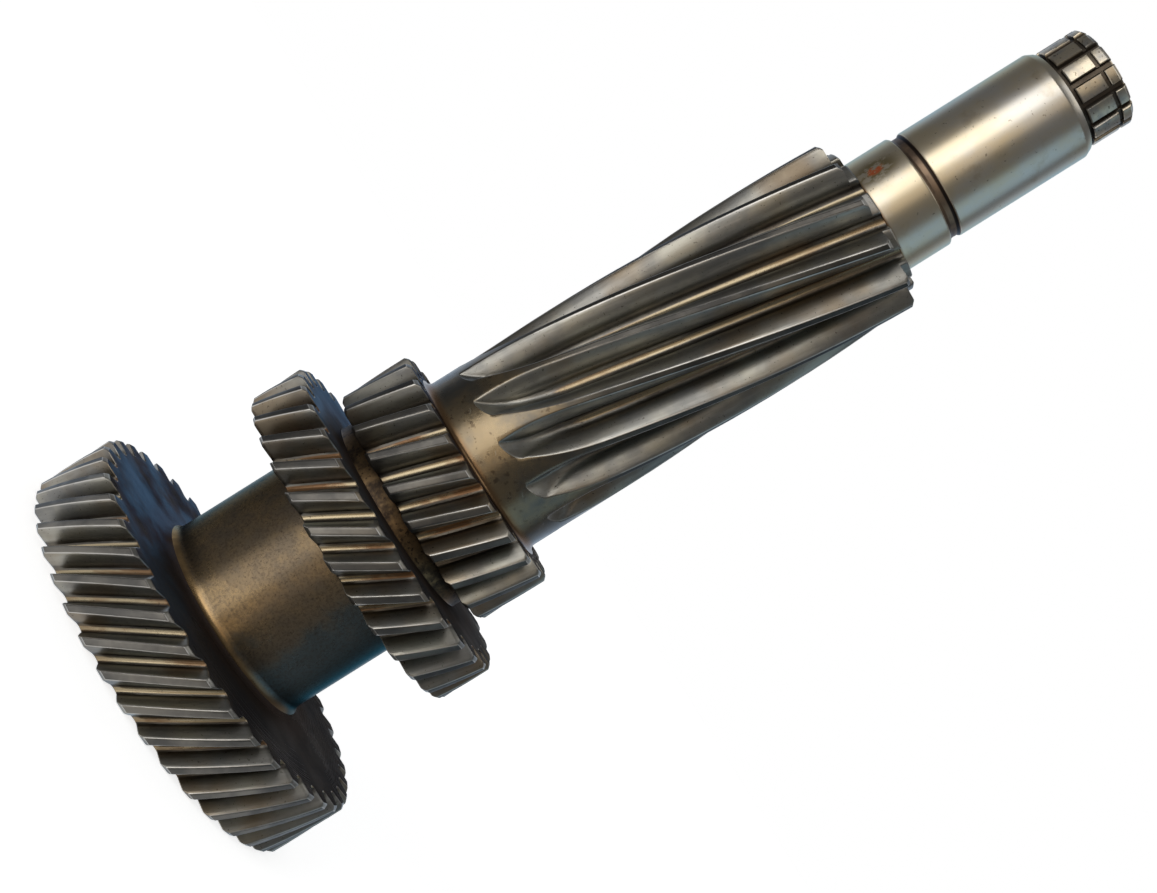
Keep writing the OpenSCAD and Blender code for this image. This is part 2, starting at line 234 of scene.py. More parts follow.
class Skin:
    """A tube that is extruded ring by ring. Each ring's points keep their place number round it."""

    def __init__(self, name, sides, radius, height, turn=0):
        bpy.ops.object.select_all(action="DESELECT")
        bpy.ops.mesh.primitive_circle_add(vertices=sides, radius=radius * MM, location=(0, 0, height * MM),
                                          rotation=(0, 0, math.radians(turn)))
        bpy.ops.object.transform_apply(location=True, rotation=True)
        self.object = bpy.context.object
        self.object.name = name
        self.sides, self.height = sides, height
        number = self.object.data.attributes.new("place", "INT", "POINT")
        turns = [math.atan2(v.co.y, v.co.x) / (2 * math.pi) - turn / 360 for v in self.object.data.vertices]
        number.data.foreach_set("value", [round(share * sides) % sides for share in turns])
        bpy.ops.object.mode_set(mode="EDIT")
        bpy.ops.mesh.select_all(action="SELECT")
        self.ring = [(radius, turn + 360 * place / sides) for place in range(sides)]
        self.collect()

    def collect(self):
        """Takes the selected points as the newest ring, in the order of their place numbers."""
        self.mesh = bmesh.from_edit_mesh(self.object.data)
        number = self.mesh.verts.layers.int["place"]
        self.points = sorted((v for v in self.mesh.verts if v.select), key=lambda v: v[number])

    def choose(self, points):
        """Selects these points of the newest ring and no others."""
        for point in self.points:
            point.select_set(False)
        for point in points:
            point.select_set(True)

    def rise(self, height):
        """Extrudes the newest ring straight up or down to a height."""
        bpy.ops.mesh.extrude_region_move(TRANSFORM_OT_translate={"value": (0, 0, (height - self.height) * MM)})
        self.height = height
        self.collect()

    def shape(self, outline, turn=0):
        """Draws the newest ring to an outline that repeats round it."""
        share = len(outline)
        repeats = self.sides // share
        for place, (radius, angle) in enumerate(outline):
            now_radius, now_angle = self.ring[place]
            self.choose(self.points[place::share])
            scale, swing = radius / now_radius, math.radians(angle + turn - now_angle)
            if abs(scale - 1) > 1e-7:
                bpy.ops.transform.resize(value=(scale, scale, 1), center_override=(0, 0, 0))
            if abs(swing) > 1e-7:
                bpy.ops.transform.rotate(value=-swing, orient_axis="Z", center_override=(0, 0, 0))
        self.ring = [(outline[n % share][0], outline[n % share][1] + turn + 360 * (n // share) / repeats)
                     for n in range(self.sides)]
        self.choose(self.points)
        self.mesh.select_flush_mode()

    def circle(self, radius, height, turn=0):
        """A new round ring, whose first point lies at an angle."""
        self.rise(height)
        first_radius, first_angle = self.ring[0]
        if all(abs(r - first_radius) + abs(a - first_angle - 360 * n / self.sides) < 1e-6
               for n, (r, a) in enumerate(self.ring)):
            self.shape([(radius, 0)], turn)
        else:
            self.shape([(radius, 360 * place / self.sides) for place in range(self.sides)], turn)

    def section(self, points, turn=0):
        """Round rings through a list of radius and height."""
        for radius, height in points:
            self.circle(radius, height, turn)

    def close(self):
        """Ends the tube in one point on the axis."""
        bpy.ops.mesh.merge(type="CENTER")

    def leave(self):
        """Ends the drawing and hands over the finished tube."""
        bpy.ops.object.mode_set(mode="OBJECT")
        return self.object


def softened(points, size):
    """A section whose corners are rounded by a few points each."""
    soft = [points[0]]
    for before, corner, after in zip(points, points[1:], points[2:]):
        back, on = math.dist(before, corner), math.dist(corner, after)
        near = min(size, 0.4 * back, 0.4 * on)
        start = [c + (b - c) * near / back for b, c in zip(before, corner)]
        end = [c + (a - c) * near / on for a, c in zip(after, corner)]
        middle = [0.25 * s + 0.5 * c + 0.25 * e for s, c, e in zip(start, corner, end)]
        soft += [tuple(start), tuple(middle), tuple(end)]
    return soft + [points[-1]]


def fillet(radius, height, size, up):
    """A concave corner between a shaft of this radius and a shoulder, from the shoulder outwards."""
    centre = (radius + size, height + up * size)
    swings = [math.radians(90 * step / FILLET_STEPS) for step in range(FILLET_STEPS + 1)]
    return [(centre[0] - size * math.sin(s), centre[1] - up * size * math.cos(s)) for s in swings]


def toothed_gear(name, gear, inner):
    """A gear cut straight through, with a ring of its two faces down to the radius inner."""
    tip, rate = tip_radius(gear), twist_rate(gear)
    heights = [0, END_WEAR, TOOTH_CHAMFER]
    heights += [TOOTH_CHAMFER + (gear.width - 2 * TOOTH_CHAMFER) * step / THROUGH_LEVELS
                for step in range(1, THROUGH_LEVELS)]
    heights += [gear.width - TOOTH_CHAMFER, gear.width - END_WEAR, gear.width]
    share = FLANK_POINTS + 1 + WORN_POINTS + LAND_POINTS
    aside = 180 / gear.teeth * (FLANK_POINTS + WORN_POINTS) / share
    skin = Skin(name, gear.teeth * share, inner, gear.foot, gear.turn - aside)
    skin.rise(gear.foot)
    for height in heights:
        from_end = min(height, gear.width - height)
        outline = tooth_outline(gear, tip - max(0, TOOTH_CHAMFER - from_end))
        if from_end == 0:
            outline = inset(outline, gear, END_WEAR)
        if height > 0:
            skin.rise(gear.foot + height)
        skin.shape(outline, gear.turn + rate * height)
    skin.circle(inner, gear.foot + gear.width, gear.turn + rate * gear.width - aside)
    return skin.leave()


def lower_end():
    """The recessed lower face, the hub and the bore with its drilled end."""
    rim_inner = root_radius(LARGE) - RIM_WIDTH
    floor = HUB_STEP + BORE_DEPTH
    cone = PILOT_RADIUS / math.tan(math.radians(DRILL_POINT / 2))
    corners = [(rim_inner, 0), (rim_inner - RECESS_SLOPE, RECESS_DEPTH), (HUB_RADIUS + RECESS_SLOPE, RECESS_DEPTH),
               (HUB_RADIUS, HUB_STEP), (BORE_RADIUS + BORE_CHAMFER, HUB_STEP),
               (BORE_RADIUS, HUB_STEP + BORE_CHAMFER), (BORE_RADIUS, floor), (PILOT_RADIUS, floor),
               (PILOT_RADIUS, floor + PILOT_DEPTH), (AXIS_RADIUS, floor + PILOT_DEPTH + cone)]
    skin = Skin("lower_end", BARREL_SIDES, *corners[0])
    skin.section(softened(corners, CORNER_WEAR)[1:])
    skin.close()
    return skin.leave()


def barrel():
    """The plain barrel between the large and the medium gear, with its fillets."""
    foot = fillet(BARREL_RADIUS, LARGE.width, BARREL_FILLET, 1)
    head = fillet(BARREL_RADIUS, MEDIUM.foot, SHOULDER_FILLET, -1)
    skin = Skin("barrel", BARREL_SIDES, *foot[0])
    skin.section(foot[1:] + head[::-1])
    return skin.leave()


def groove():
    """The narrow groove between the medium and the small gear."""
    corner = GROOVE_RADIUS + GROOVE_CORNER_WIDTH
    skin = Skin("groove", BARREL_SIDES, corner, MEDIUM.foot + MEDIUM.width)
    skin.section([(GROOVE_RADIUS, MEDIUM.foot + MEDIUM.width + GROOVE_CORNER_HEIGHT),
                  (GROOVE_RADIUS, SMALL.foot - GROOVE_CORNER_HEIGHT), (corner, SMALL.foot)])
    return skin.leave()


def pinion_outline(height, tip):
    """One pitch of the pinion at a height, where the hob's lead makes one flank of a space rise before the other."""
    lifts = []
    for lead in (-HOB_LEAD, 0, HOB_LEAD):
        short = PINION.foot + lead - height
        lifts.append(HOB_RADIUS - math.sqrt(HOB_RADIUS ** 2 - short ** 2) if short > 0 else 0)
    return tooth_outline(PINION, tip, lifts, PINION_FLANK_POINTS, PINION_LAND_POINTS)


def cut_pinion(skin, height, tip):
    """A new ring across the pinion's teeth, no further out than the radius tip."""
    skin.rise(height)
    skin.shape(pinion_outline(height, tip), PINION.turn + twist_rate(PINION) * (height - PINION_TOP))


def neck_and_pinion():
    """The neck, the pinion and the collar, as the start of the shaft's tube."""
    share = PINION_FLANK_POINTS + 1 + WORN_POINTS + PINION_LAND_POINTS
    aside = 180 / PINION.teeth * (PINION_FLANK_POINTS + WORN_POINTS) / share
    first_turn = PINION.turn + twist_rate(PINION) * (PINION_START - PINION_TOP) - aside
    foot = fillet(NECK_RADIUS, SMALL_TOP, NECK_FILLET, 1)
    skin = Skin("shaft", PINION.teeth * share, *foot[0], first_turn)
    skin.section(foot[1:], first_turn)
    neck_foot = foot[-1][1]
    gathered = pinion_outline(PINION_START, NECK_RADIUS)
    for step in range(1, GATHER_LEVELS):
        part = step / GATHER_LEVELS
        skin.rise(neck_foot + (PINION_START - neck_foot) * part)
        skin.shape([(NECK_RADIUS, (360 / PINION.teeth * n / share - aside) * (1 - part) + angle * part)
                    for n, (_, angle) in enumerate(gathered)], first_turn + aside)
    deep_foot = PINION.foot + HOB_LEAD
    for step in range(RISE_LEVELS + 1):
        rise = (deep_foot - PINION_START) * (step / RISE_LEVELS) ** RISE_CROWDING
        cut_pinion(skin, PINION_START + rise, NECK_RADIUS)
    deep = PINION_TOP - TOOTH_CHAMFER - PINION.foot - HOB_LEAD
    for step in range(1, DEEP_LEVELS + 1):
        cut_pinion(skin, deep_foot + deep * step / DEEP_LEVELS, NECK_RADIUS)
    for height, tip in ((PINION_TOP, NECK_RADIUS - TOOTH_CHAMFER), (PINION_TOP, COLLAR_RADIUS),
                        (COLLAR_TOP - COLLAR_CHAMFER, COLLAR_RADIUS), (COLLAR_TOP, COLLAR_RADIUS - COLLAR_CHAMFER)):
        cut_pinion(skin, height, tip)
    return skin


def turn_journals(skin):
    """Both journals, the grinding groove between them and the undercut, on top of the collar."""
    relief = REAR_JOURNAL_RADIUS - RELIEF_DEPTH
    undercut = SPLINE_RADIUS - SPLINE_DEPTH - UNDERCUT_STEP
    corner = fillet(CENTRE_JOURNAL_RADIUS, COLLAR_TOP, SHOULDER_FILLET, 1)
    turned = [corner[-1], (CENTRE_JOURNAL_RADIUS, CENTRE_TOP - JOURNAL_CHAMFER), (relief, CENTRE_TOP),
              (relief, REAR_FOOT), (REAR_JOURNAL_RADIUS, REAR_FOOT + RELIEF_DEPTH),
              (REAR_JOURNAL_RADIUS, REAR_TOP - 2 * JOURNAL_CHAMFER), (REAR_JOURNAL_RADIUS - JOURNAL_CHAMFER, REAR_TOP),
              (undercut, REAR_TOP), (undercut, SPLINE_FOOT)]
    skin.section(corner + softened(turned, CORNER_WEAR)[1:], SPLINE_TURN)


def cut_splines(skin):
    """The splines, with the snap-ring groove across them."""
    groove_top = TOP - RING_GROOVE_INSET
    groove_foot = groove_top - RING_GROOVE_WIDTH
    bottom, edge = SPLINE_RADIUS - RING_GROOVE_DEPTH, SPLINE_RADIUS - SPLINE_WEAR
    levels = [(SPLINE_FOOT, SPLINE_RADIUS - CORNER_WEAR), (SPLINE_FOOT + CORNER_WEAR, SPLINE_RADIUS),
              (groove_foot - SPLINE_WEAR, SPLINE_RADIUS), (groove_foot, edge), (groove_foot, bottom),
              (groove_top, bottom), (groove_top, edge), (groove_top + SPLINE_WEAR, SPLINE_RADIUS),
              (TOP - JOURNAL_CHAMFER, SPLINE_RADIUS), (TOP, SPLINE_RADIUS - JOURNAL_CHAMFER)]
    for height, cap in levels:
        skin.rise(height)
        skin.shape(spline_outline(cap), SPLINE_TURN)


def drill_centre(skin):
    """The end face and its centre hole, which closes the tube."""
    cone = (CENTRE_HOLE_MOUTH - CENTRE_HOLE_PILOT) / math.tan(math.radians(CENTRE_HOLE_SLOPE))
    skin.section([(SPLINE_RADIUS - SPLINE_DEPTH - END_FACE_INSET, TOP), (CENTRE_HOLE_MOUTH, TOP),
                  (CENTRE_HOLE_PILOT, TOP - cone), (CENTRE_HOLE_PILOT, TOP - CENTRE_HOLE_DEPTH),
                  (AXIS_RADIUS, TOP - CENTRE_HOLE_DEPTH)], SPLINE_TURN)
    skin.close()


def fill_ring(height):
    """Closes the flat ring between the two open edges at a height."""
    mesh = bmesh.from_edit_mesh(bpy.context.object.data)
    bpy.ops.mesh.select_all(action="DESELECT")
    for point in mesh.verts:
        if point.is_boundary and abs(point.co.z - height * MM) < 1e-6:
            point.select_set(True)
    mesh.select_flush(True)
    bpy.ops.mesh.fill()


def whole_shaft():
    """All the skins joined and closed into one, which stands for the solid."""
    pieces = [toothed_gear("large_gear", LARGE, root_radius(LARGE) - FACE_MARGIN),
              toothed_gear("medium_gear", MEDIUM, root_radius(MEDIUM) - FACE_MARGIN),
              toothed_gear("small_gear", SMALL, root_radius(SMALL) - SMALL_FACE_MARGIN),
              lower_end(), barrel(), groove()]
    upper = neck_and_pinion()
    turn_journals(upper)
    cut_splines(upper)
    drill_centre(upper)
    shaft = upper.leave()
    bpy.ops.object.select_all(action="DESELECT")
    for piece in pieces + [shaft]:
        piece.select_set(True)
    bpy.context.view_layer.objects.active = shaft
    bpy.ops.object.join()
    bpy.ops.object.mode_set(mode="EDIT")
    for height in (0, LARGE.width, MEDIUM.foot, MEDIUM.foot + MEDIUM.width, SMALL.foot, SMALL_TOP):
        fill_ring(height)
    bpy.ops.mesh.select_all(action="SELECT")
    bpy.ops.mesh.normals_make_consistent(inside=False)
    bpy.ops.object.mode_set(mode="OBJECT")
    bpy.ops.object.shade_smooth_by_angle(angle=math.radians(SMOOTH_ANGLE))
    shaft.name = "one_piece_shaft"
    return shaft


steel_shaft = whole_shaft()
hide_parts("countershaft")
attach(steel_shaft, "root")

# Camera, which looks across the shaft; the aim and its offset are in millimetres
SHAFT_ROLL, SHAFT_TILT = 32.05, 1.07
FOCAL_PIXELS, PICTURE_WIDTH, SENSOR = 2053, 1157, 36
AIM_HEIGHT, AIM_RIGHT, AIM_UP, AIM_AWAY = 119.84, -4.38, 7.93, 520
NEAREST, FURTHEST = 0.01, 20


def set_camera():
    """The camera lies on its side, so that the standing shaft crosses the picture at a slant."""
    roll, tilt = math.radians(SHAFT_ROLL), math.radians(SHAFT_TILT)
    axis = Vector((math.cos(tilt) * math.cos(roll), math.cos(tilt) * math.sin(roll), math.sin(tilt)))
    side = Vector((0, 0, -1)).cross(axis).normalized()
    front = axis.cross(side)
    from_camera = Matrix((side, front, axis))
    aim = Vector((0, 0, AIM_HEIGHT)) * MM
    offset = Vector((AIM_RIGHT, AIM_UP, -AIM_AWAY)) * MM
    data = bpy.data.cameras.new("camera")
    data.sensor_width = SENSOR
    data.lens = SENSOR * FOCAL_PIXELS / PICTURE_WIDTH
    data.clip_start, data.clip_end = NEAREST, FURTHEST
    camera = bpy.data.objects.new("camera", data)
    bpy.context.scene.collection.objects.link(camera)
    camera.matrix_world = Matrix.Translation(aim - from_camera @ offset) @ from_camera.to_4x4()
    bpy.context.scene.camera = camera


set_camera()
bpy.context.scene.view_settings.view_transform = "Standard"

# Light and ground, in metres; a soft box has its turn, distance, width, power and colour
WORLD_TURN, WORLD_LEVEL = (0.4, 0.98), 0.14
BOX_HEIGHT, BOX_MIDDLE = 0.9, 0.15
SOFT_BOXES = {
    "key_box": (30, 0.63, 0.40, 2.5, (1, 0.99, 0.97)),
    "front_box": (0, 0.66, 0.26, 0.5, (1, 0.84, 0.64)),
    "fill_box": (-82, 0.70, 0.5, 0.68, (0.52, 0.81, 1)),
}
TOP_BOX_SIZE, TOP_BOX_HEIGHT, TOP_BOX_POWER = 0.5, 1.0, 0.9
FLOOR_SIZE, FLOOR_EDGE, FLOOR_LEVEL = 3, -0.19, -0.0002
FLOOR_GREY, FLOOR_PALE, FLOOR_ROUGHNESS = (0.2, 0.2, 0.2), (0.8, 0.8, 0.8), 0.9
SEEN_FAR, SEEN_NEAR = (0.35, 0.35, 0.35), (0.65, 0.65, 0.65)
GLOW_FAR, GLOW_NEAR = 0.93, 0.76
WHITE = (1, 1, 1)


def set_world():
    """White behind the shaft and a darker grey on the camera's side; the camera sees white all round."""
    world = bpy.data.worlds.new("studio")
    bpy.context.scene.world = world
    world.use_nodes = True
    tree = world.node_tree
    place = tree.nodes.new("ShaderNodeTexCoord")
    parts = tree.nodes.new("ShaderNodeSeparateXYZ")
    tree.links.new(place.outputs["Generated"], parts.inputs["Vector"])
    level = tree.nodes.new("ShaderNodeMapRange")
    level.interpolation_type = "SMOOTHSTEP"
    level.inputs["From Min"].default_value, level.inputs["From Max"].default_value = WORLD_TURN
    level.inputs["To Min"].default_value, level.inputs["To Max"].default_value = WORLD_LEVEL, 1
    tree.links.new(parts.outputs["Y"], level.inputs["Value"])
    rays = tree.nodes.new("ShaderNodeLightPath")
    strength = level.outputs["Result"]
    for ray in ("Is Camera Ray", "Is Transmission Ray"):
        brighter = tree.nodes.new("ShaderNodeMath")
        brighter.operation = "MAXIMUM"
        tree.links.new(strength, brighter.inputs[0])
        tree.links.new(rays.outputs[ray], brighter.inputs[1])
        strength = brighter.outputs[0]
    tree.links.new(strength, tree.nodes["Background"].inputs["Strength"])
    tree.nodes["Background"].inputs["Color"].default_value = (*WHITE, 1)


def set_box(name, place, turn, size, power, colour):
    """One soft box, which the camera doesn't see."""
    data = bpy.data.lights.new(name, "AREA")
    data.shape, data.size, data.size_y = "RECTANGLE", *size
    data.energy, data.color = power, colour
    lamp = bpy.data.objects.new(name, data)
    bpy.context.scene.collection.objects.link(lamp)
    lamp.location, lamp.rotation_euler = place, turn
    lamp.visible_camera = False


def set_lamps():
    """Upright soft boxes round the shaft, each turned from the camera's side by its angle, and one overhead."""
    for name, (angle, away, width, power, colour) in SOFT_BOXES.items():
        swing = math.radians(angle)
        place = (-away * math.sin(swing), -away * math.cos(swing), BOX_MIDDLE)
        set_box(name, place, (math.radians(90), 0, -swing), (width, BOX_HEIGHT), power, colour)
    set_box("top_box", (0, 0, TOP_BOX_HEIGHT), (0, 0, 0), (TOP_BOX_SIZE, TOP_BOX_SIZE), TOP_BOX_POWER, WHITE)


class Finish:
    """A finish: shader nodes that start from the place on the shaft, in metres, and shades laid over each other."""

    def __init__(self, name):
        self.material = bpy.data.materials.new(name)
        self.material.use_nodes = True
        self.tree = self.material.node_tree
        self.shader = self.tree.nodes["Principled BSDF"]
        self.place = self.add("TexCoord").outputs["Object"]
        parts = self.add("SeparateXYZ", Vector=self.place)
        self.across, self.back, self.height = (parts.outputs[axis] for axis in "XYZ")
        self.radius = self.calc("SQRT", self.calc("ADD", self.calc("POWER", self.across, 2),
                                                  self.calc("POWER", self.back, 2)))
        self.colour = WHITE

    def add(self, kind, settings=(), **inputs):
        """A new node, with its settings and its inputs by name."""
        node = self.tree.nodes.new("ShaderNode" + kind)
        for key, value in dict(settings).items():
            setattr(node, key, value)
        for key, value in inputs.items():
            self.put(node.inputs[key.replace("_", " ")], value)
        return node

    def put(self, socket, value):
        """Links an output to a socket, or sets the socket to a number or a colour."""
        if isinstance(value, bpy.types.NodeSocket):
            self.tree.links.new(value, socket)
        elif socket.type == "RGBA" and len(value) == 3:
            socket.default_value = (*value, 1)
        else:
            socket.default_value = value

    def calc(self, operation, first, second=0.0):
        node = self.add("Math", {"operation": operation})
        self.put(node.inputs[0], first)
        self.put(node.inputs[1], second)
        return node.outputs[0]

    def times(self, *values):
        product = values[0]
        for value in values[1:]:
            product = self.calc("MULTIPLY", product, value)
        return product

    def fade(self, value, start, end, low=0.0, high=1.0):
        """Runs smoothly from low to high while value runs from start to end."""
        return self.add("MapRange", {"interpolation_type": "SMOOTHSTEP"}, Value=value, From_Min=start, From_Max=end,
                        To_Min=low, To_Max=high).outputs["Result"]

    def band(self, value, start, full, end, gone):
        """1 between full and end, fading out to 0 at start and at gone."""
        return self.times(self.fade(value, start, full), self.fade(value, gone, end))

    def mix(self, share, first, second):
        """The first colour where share is 0, the second where it is 1."""
        node = self.add("Mix", {"data_type": "RGBA"})
        for socket, value in zip((node.inputs[0], node.inputs[6], node.inputs[7]), (share, first, second)):
            self.put(socket, value)
        return node.outputs[2]

    def lay(self, share, shade):
        """Lays a shade over the colour so far, by a share from 0 to 1."""
        self.colour = self.mix(share, self.colour, shade)

    def unwound(self, rate):
        """The place with the twist of the teeth taken out of it; rate is in degrees a millimetre."""
        turn = self.calc("MULTIPLY", self.height, -math.radians(rate) / MM)
        return self.add("VectorRotate", {"rotation_type": "Z_AXIS"}, Vector=self.place, Angle=turn).outputs["Vector"]

    def noise(self, place, scale, detail=3.0, roughness=0.55, shift=(0, 0, 0), stretch=(1, 1, 1)):
        moved = self.add("Mapping", Vector=place, Scale=stretch, Location=shift).outputs["Vector"]
        return self.add("TexNoise", Vector=moved, Scale=scale, Detail=detail, Roughness=roughness).outputs["Fac"]

    def spots(self, scale, share, shift=(0, 0, 0)):
        """Scattered spots, about 1 / scale across; a larger share leaves fewer of them."""
        return self.fade(self.noise(self.place, scale, 2.0, 0.6, shift), share, share + 0.06)

    def lines(self, fine, coarse=14.0):
        """Fine marks of turning and grinding round the axis."""
        return self.noise(self.place, 1.0, 2.0, 0.7, stretch=(coarse, coarse, fine))

    def rings(self, scale, detail):
        """Fine rings of turning on a flat face."""
        return self.add("TexNoise", {"noise_dimensions": "1D"}, W=self.radius, Scale=scale,
                        Detail=detail).outputs["Fac"]

    def end(self, roughness, relief, depth, metal=1.0, tint=(0.62, 0.74, 0.9)):
        """Puts the colour, the gloss and the relief on the shader and hands over the finished material."""
        self.put(self.shader.inputs["Base Color"], self.colour)
        self.put(self.shader.inputs["Roughness"], roughness)
        self.put(self.shader.inputs["Metallic"], metal)
        self.put(self.shader.inputs["Specular Tint"], tint)
        bump = self.add("Bump", Height=relief, Distance=depth)
        self.put(bump.inputs["Strength"], 1.0)
        self.put(self.shader.inputs["Normal"], bump.outputs["Normal"])
        return self.material


# Shades of the shaft's finishes
FLANK_GREY, FLANK_PALE, FLANK_STREAK = (0.21, 0.207, 0.197), (0.33, 0.315, 0.27), (0.43, 0.42, 0.39)
FLANK_BROWN, FLANK_PIT = (0.22, 0.155, 0.085), (0.045, 0.035, 0.027)
ROOT_SHADE, ROOT_TAN, ROOT_RUST = (0.045, 0.036, 0.028), (0.33, 0.27, 0.175), (0.155, 0.07, 0.023)
LAND_DARK, LAND_GREY, WORN_EDGE = (0.062, 0.06, 0.057), (0.115, 0.108, 0.096), (0.52, 0.505, 0.475)
NECK_GREY, NECK_GOLD = (0.135, 0.127, 0.112), (0.27, 0.208, 0.128)
NECK_BURNT, NECK_CORNER = (0.075, 0.052, 0.035), (0.21, 0.12, 0.055)
FACE_BLACK, FACE_GREY, FACE_REFLECTION_BLUE = (0.046, 0.042, 0.042), (0.100, 0.089, 0.082), (0.08, 0.108, 0.142)
FACE_BROWN, FACE_SPECK = (0.085, 0.06, 0.048), (0.13, 0.075, 0.045)
FACE_FILM_GREY, FACE_REFLECTION_TINT_BLUE = (0.13, 0.13, 0.14), (0.30, 0.52, 0.85)
LOWER_DARK, LOWER_PALE, LOWER_OIL = (0.075, 0.07, 0.066), (0.19, 0.165, 0.135), (0.13, 0.078, 0.04)
HUB_BRIGHT, LOWER_SPECK = (0.36, 0.34, 0.31), (0.05, 0.035, 0.027)
BARREL_BROWN, BARREL_TAN, BARREL_REFLECTION_BLUE = (0.145, 0.115, 0.082), (0.27, 0.188, 0.098), (0.082, 0.105, 0.112)
BARREL_GRAIN, BARREL_SPECK = (0.07, 0.053, 0.04), (0.04, 0.03, 0.022)
BARREL_FOOT_BROWN, BARREL_FILLET_HIGHLIGHT, BARREL_FILM = (0.11, 0.066, 0.036), (0.42, 0.28, 0.135), (0.27, 0.4, 0.5)
GROOVE_BLACK, GROOVE_RUST, GROOVE_SPECK = (0.035, 0.025, 0.018), (0.20, 0.13, 0.065), (0.03, 0.02, 0.015)
JOURNAL_SILVER, JOURNAL_GOLD, JOURNAL_MARK = (0.60, 0.575, 0.53), (0.64, 0.55, 0.395), (0.45, 0.43, 0.40)
JOURNAL_SMUDGE, JOURNAL_SPECK, JOURNAL_FILM = (0.40, 0.32, 0.21), (0.16, 0.12, 0.085), (0.45, 0.66, 0.8)
STAIN_OLIVE, STAIN_RED, JOURNAL_CORNER = (0.24, 0.175, 0.06), (0.30, 0.068, 0.02), (0.22, 0.115, 0.05)
RELIEF_BROWN, RELIEF_TAN, RELIEF_CORNER_SHADE = (0.12, 0.088, 0.068), (0.26, 0.185, 0.125), (0.03, 0.022, 0.018)
SPLINE_GREY, SPLINE_GOLD = (0.34, 0.325, 0.30), (0.56, 0.49, 0.375)
SPLINE_GAP_SHADE, SPLINE_SPECK = (0.08, 0.063, 0.048), (0.09, 0.065, 0.045)
STAIN_PLACE, STAIN_STRETCH = (-0.00995, -0.01189, 0.21774), (1, 1, 1.7)


def golden_neck(finish, land):
    """The lands' colour, with the neck's golden film fading into it up the pinion."""
    film = finish.noise(finish.place, 60, 4.0, 0.62, shift=(0, 0, 2))
    golden = finish.mix(finish.fade(film, 0.36, 0.66), NECK_GREY, NECK_GOLD)
    burnt = finish.times(finish.spots(620, 0.6, (4, 0, 0)), finish.fade(film, 0.42, 0.6), 0.6)
    golden = finish.mix(burnt, golden, NECK_BURNT)
    corner = finish.fade(finish.height, (SMALL_TOP + 2.6) * MM, (SMALL_TOP + 0.8) * MM, 0.0, 0.85)
    golden = finish.mix(corner, golden, NECK_CORNER)
    return finish.mix(finish.fade(finish.height, (NECK_TOP + 34) * MM, (NECK_TOP + 6) * MM), land, golden)


def tooth_steel(name, gear, rust, land_shade, necked=False):
    """Satin flanks, dark lands with bright worn edges, shiny roots with rust in patches, and patchy painted shade low
    in the tooth spaces.
    """
    finish = Finish(name)
    radius, height = finish.radius, finish.height
    root, tip = root_radius(gear) * MM, tip_radius(gear) * MM
    straight = finish.unwound(twist_rate(gear))
    cloud = finish.noise(finish.place, 70, 4.0, 0.6)
    streak = finish.noise(straight, 420, 3.0, 0.6, stretch=(1, 1, 0.12))
    grain = finish.noise(finish.place, 2600, 2.0, 0.6, shift=(0.3, 0, 0))
    finish.colour = finish.mix(finish.fade(cloud, 0.36, 0.66), FLANK_GREY, FLANK_PALE)
    finish.lay(finish.times(finish.fade(streak, 0.42, 0.75), 0.5), FLANK_STREAK)
    warm = finish.noise(finish.place, 38, 3.0, 0.6, shift=(2, 0, 1))
    finish.lay(finish.fade(warm, 0.45, 0.68, 0.0, 0.65), FLANK_BROWN)
    patchy = finish.noise(straight, 90, 4.0, 0.65, shift=(0, 3, 0), stretch=(1, 1, 0.5))
    # Painted shade in patches, in a band low in the tooth spaces just above the root
    root_shade = finish.times(finish.band(radius, root + 0.00004, root + 0.00016, root + 0.0009, root + 0.0019),
                         finish.fade(patchy, 0.7, 0.35, 0.25, 0.8))
    finish.lay(root_shade, ROOT_SHADE)
    low = finish.fade(radius, root + 0.00018, root + 0.00006)
    finish.lay(low, ROOT_TAN)
    rusty = finish.times(finish.fade(radius, root + 0.0003, root + 0.0001), finish.fade(patchy, 0.46, 0.6), rust)
    finish.lay(rusty, ROOT_RUST)
    finish.lay(finish.times(finish.spots(1500, 0.66, (1, 1, 0)), 0.7), FLANK_PIT)
    land = finish.fade(radius, tip - 0.00008, tip - 0.00003)
    land_colour = finish.mix(finish.fade(cloud, 0.36, 0.66), [land_shade * part for part in LAND_DARK],
                             [land_shade * part for part in LAND_GREY])
    if necked:
        land_colour = golden_neck(finish, land_colour)
    finish.lay(land, land_colour)
    nicks = finish.fade(finish.noise(straight, 260, 3.0, 0.6, shift=(0, 0, 5)), 0.30, 0.5, 0.5, 1.0)
    foot, head = gear.foot * MM, (gear.foot + gear.width) * MM
    worn = finish.times(finish.band(radius, tip - 0.00032, tip - 0.00018, tip - 0.00009, tip - 0.00004), nicks,
                        finish.fade(height, head - 0.0002, head - 0.0008, 0.3, 1.0),
                        finish.fade(height, foot + 0.0002, foot + 0.0008, 0.3, 1.0))
    finish.lay(worn, WORN_EDGE)
    rough = finish.fade(cloud, 0.3, 0.7, 0.44, 0.34)
    rough = finish.calc("ADD", rough, finish.times(land, 0.06))
    rough = finish.calc("SUBTRACT", rough, finish.times(low, 0.12))
    if necked:
        glossy = finish.fade(height, (NECK_TOP + 30) * MM, (NECK_TOP + 4) * MM, 0.0, 0.16)
        rough = finish.calc("SUBTRACT", rough, finish.times(land, glossy))
    relief = finish.times(finish.calc("ADD", finish.times(streak, 0.6), finish.times(grain, 0.4)),
                          finish.fade(radius, root + 0.0004, root + 0.0013, 0.15, 1.0))
    metal = finish.calc("SUBTRACT", 1.0, finish.times(rusty, 0.4))
    return finish.end(rough, relief, 0.00003, metal)


